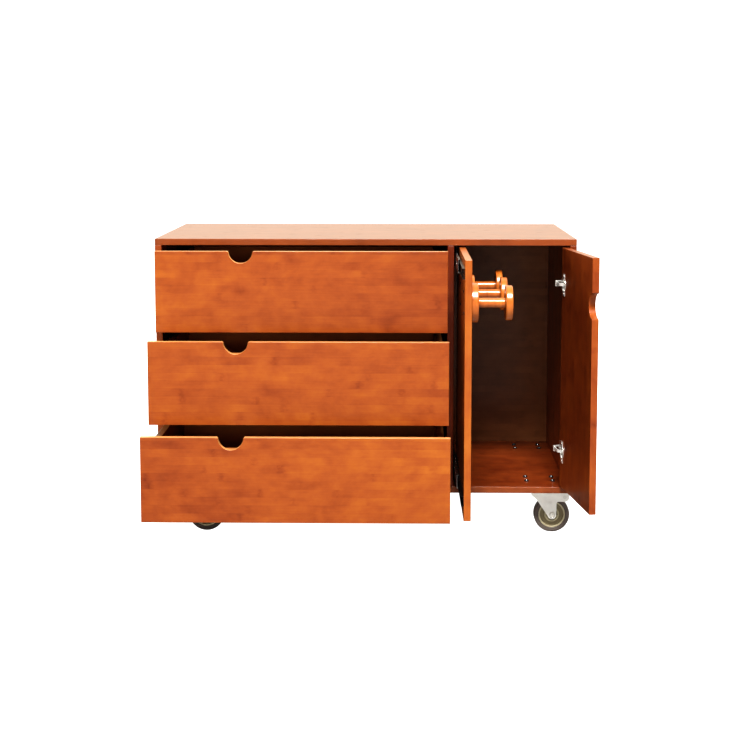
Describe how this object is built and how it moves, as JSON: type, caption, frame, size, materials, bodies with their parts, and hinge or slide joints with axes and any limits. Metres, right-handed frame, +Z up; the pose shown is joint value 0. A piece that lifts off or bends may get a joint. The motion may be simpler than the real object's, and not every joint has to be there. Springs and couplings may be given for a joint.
{
  "type": "tack cabinet on casters",
  "caption": "Low bamboo-board tack cabinet on swivel casters, with finger-notched drawers beside a narrow cupboard that holds a pull-out panel of turned pegs.",
  "frame": {"origin": "on the floor, under the middle of the open cabinet's bounding box as it stands at rest", "axes": "+X to the cabinet's right seen from the front, the longest way; +Y from front to back; +Z up, the shortest way"},
  "size_m": [1.1713, 1, 0.835],
  "materials": {
    "bamboo": "satin clear coat over reddish brown stained bamboo board",
    "bamboo_inside": "thin stained coat on inner boards",
    "turned_wood": "glossy clear coat on turned pegs",
    "slide_steel": "zinc-plated pressed steel",
    "hinge_steel": "nickel-plated steel",
    "screw_steel": "zinc-plated screws and bolts",
    "caster_steel": "pale zinc and lacquer on pressed steel",
    "tread": "grey-brown tread",
    "wheel_core": "khaki moulded plastic",
    "lever": "dark moulded plastic"
  },
  "bodies": {
    "root": {"top_panel": "bamboo", "bottom_panel": "bamboo", "left_side_panel": "bamboo", "right_side_panel": "bamboo", "divider_panel": "bamboo", "back_panel": "bamboo_inside", "carcass_dowels": "bamboo_inside", "cabinet_rails": "slide_steel", "carcass_screws": "screw_steel", "hinge_plates": "hinge_steel", "caster_plates": "caster_steel", "caster_bolts": "screw_steel"},
    "bottom_drawer": {"bottom_drawer_front": "bamboo", "bottom_drawer_boards": "bamboo", "bottom_drawer_bottom": "bamboo_inside", "bottom_drawer_rails": "slide_steel", "bottom_drawer_screws": "screw_steel"},
    "bottom_drawer_carriers": {"bottom_drawer_middle_rails": "slide_steel"},
    "middle_drawer": {"middle_drawer_front": "bamboo", "middle_drawer_boards": "bamboo", "middle_drawer_bottom": "bamboo_inside", "middle_drawer_rails": "slide_steel", "middle_drawer_screws": "screw_steel"},
    "middle_drawer_carriers": {"middle_drawer_middle_rails": "slide_steel"},
    "top_drawer": {"top_drawer_front": "bamboo", "top_drawer_boards": "bamboo", "top_drawer_bottom": "bamboo_inside", "top_drawer_rails": "slide_steel", "top_drawer_screws": "screw_steel"},
    "top_drawer_carriers": {"top_drawer_middle_rails": "slide_steel"},
    "door": {"cupboard_door": "bamboo", "hinge_cups": "hinge_steel"},
    "links": {"hinge_links": "hinge_steel"},
    "rack": {"rack_panel": "bamboo", "peg_bases": "turned_wood", "peg_rods": "turned_wood", "peg_ends": "turned_wood", "rack_rails": "slide_steel", "rack_screws": "screw_steel"},
    "rack_carriers": {"rack_middle_rails": "slide_steel"},
    "front_left_swivel": {"front_left_fork": "caster_steel", "front_left_axle": "screw_steel"},
    "front_left_wheel": {"front_left_tyre": "tread", "front_left_hub": "wheel_core"},
    "front_left_brake": {"front_left_brake_lever": "lever"},
    "front_right_swivel": {"front_right_fork": "caster_steel", "front_right_axle": "screw_steel"},
    "front_right_wheel": {"front_right_tyre": "tread", "front_right_hub": "wheel_core"},
    "front_right_brake": {"front_right_brake_lever": "lever"},
    "rear_left_swivel": {"rear_left_fork": "caster_steel", "rear_left_axle": "screw_steel"},
    "rear_left_wheel": {"rear_left_tyre": "tread", "rear_left_hub": "wheel_core"},
    "rear_right_swivel": {"rear_right_fork": "caster_steel", "rear_right_axle": "screw_steel"},
    "rear_right_wheel": {"rear_right_tyre": "tread", "rear_right_hub": "wheel_core"}
  },
  "joints": [
    {"name": "bottom_drawer_slide", "type": "slide", "parent": "root", "child": "bottom_drawer", "axis": [0, -1, 0], "range_m": [-0.4, 0.15]},
    {"name": "bottom_drawer_carrier_slide", "type": "slide", "parent": "root", "child": "bottom_drawer_carriers", "axis": [0, -1, 0], "range_m": [-0.2, 0.075]},
    {"name": "middle_drawer_slide", "type": "slide", "parent": "root", "child": "middle_drawer", "axis": [0, -1, 0], "range_m": [-0.27, 0.28]},
    {"name": "middle_drawer_carrier_slide", "type": "slide", "parent": "root", "child": "middle_drawer_carriers", "axis": [0, -1, 0], "range_m": [-0.135, 0.14]},
    {"name": "top_drawer_slide", "type": "slide", "parent": "root", "child": "top_drawer", "axis": [0, -1, 0], "range_m": [-0.135, 0.415]},
    {"name": "top_drawer_carrier_slide", "type": "slide", "parent": "root", "child": "top_drawer_carriers", "axis": [0, -1, 0], "range_m": [-0.0675, 0.2075]},
    {"name": "door_hinge", "type": "hinge", "parent": "root", "child": "door", "pos_m": [0.5431, -0.1005, 0.4825], "axis": [0, 0, 1], "range_deg": [-98, 7]},
    {"name": "link_hinge", "type": "hinge", "parent": "root", "child": "links", "pos_m": [0.5131, -0.0785, 0.4825], "axis": [0, 0, 1], "range_deg": [-113.98, 8.15]},
    {"name": "rack_slide", "type": "slide", "parent": "root", "child": "rack", "axis": [0, -1, 0], "range_m": [-0.40451, 0.0289]},
    {"name": "rack_carrier_slide", "type": "slide", "parent": "root", "child": "rack_carriers", "axis": [0, -1, 0], "range_m": [-0.20227, 0.01446]},
    {"name": "front_left_swivel_turn", "type": "hinge", "parent": "root", "child": "front_left_swivel", "pos_m": [-0.4989, -0.01, 0.115], "axis": [0, 0, 1], "continuous": true},
    {"name": "front_left_wheel_spin", "type": "hinge", "parent": "front_left_swivel", "child": "front_left_wheel", "pos_m": [-0.4629, -0.01, 0.05], "axis": [0, 1, 0], "continuous": true},
    {"name": "front_left_brake_press", "type": "hinge", "parent": "front_left_swivel", "child": "front_left_brake", "pos_m": [-0.4274, -0.01, 0.1015], "axis": [0, 1, 0], "range_deg": [0, 20]},
    {"name": "front_right_swivel_turn", "type": "hinge", "parent": "root", "child": "front_right_swivel", "pos_m": [0.4771, -0.01, 0.115], "axis": [0, 0, 1], "continuous": true},
    {"name": "front_right_wheel_spin", "type": "hinge", "parent": "front_right_swivel", "child": "front_right_wheel", "pos_m": [0.5131, -0.01, 0.05], "axis": [0, 1, 0], "continuous": true},
    {"name": "front_right_brake_press", "type": "hinge", "parent": "front_right_swivel", "child": "front_right_brake", "pos_m": [0.5486, -0.01, 0.1015], "axis": [0, 1, 0], "range_deg": [0, 20]},
    {"name": "rear_left_swivel_turn", "type": "hinge", "parent": "root", "child": "rear_left_swivel", "pos_m": [-0.4989, 0.41, 0.115], "axis": [0, 0, 1], "continuous": true},
    {"name": "rear_left_wheel_spin", "type": "hinge", "parent": "rear_left_swivel", "child": "rear_left_wheel", "pos_m": [-0.4629, 0.41, 0.05], "axis": [0, 1, 0], "continuous": true},
    {"name": "rear_right_swivel_turn", "type": "hinge", "parent": "root", "child": "rear_right_swivel", "pos_m": [0.4771, 0.41, 0.115], "axis": [0, 0, 1], "continuous": true},
    {"name": "rear_right_wheel_spin", "type": "hinge", "parent": "rear_right_swivel", "child": "rear_right_wheel", "pos_m": [0.5131, 0.41, 0.05], "axis": [0, 1, 0], "continuous": true}
  ],
  "couplings": [
    {"joint": "bottom_drawer_carrier_slide", "follows": "bottom_drawer_slide", "ratio": 0.5},
    {"joint": "middle_drawer_carrier_slide", "follows": "middle_drawer_slide", "ratio": 0.5},
    {"joint": "top_drawer_carrier_slide", "follows": "top_drawer_slide", "ratio": 0.5},
    {"joint": "link_hinge", "follows": "door_hinge", "ratio": 1.163},
    {"joint": "rack_slide", "follows": "door_hinge", "m_per_rad": 0.23649},
    {"joint": "rack_carrier_slide", "follows": "door_hinge", "m_per_rad": 0.11825}
  ]
}
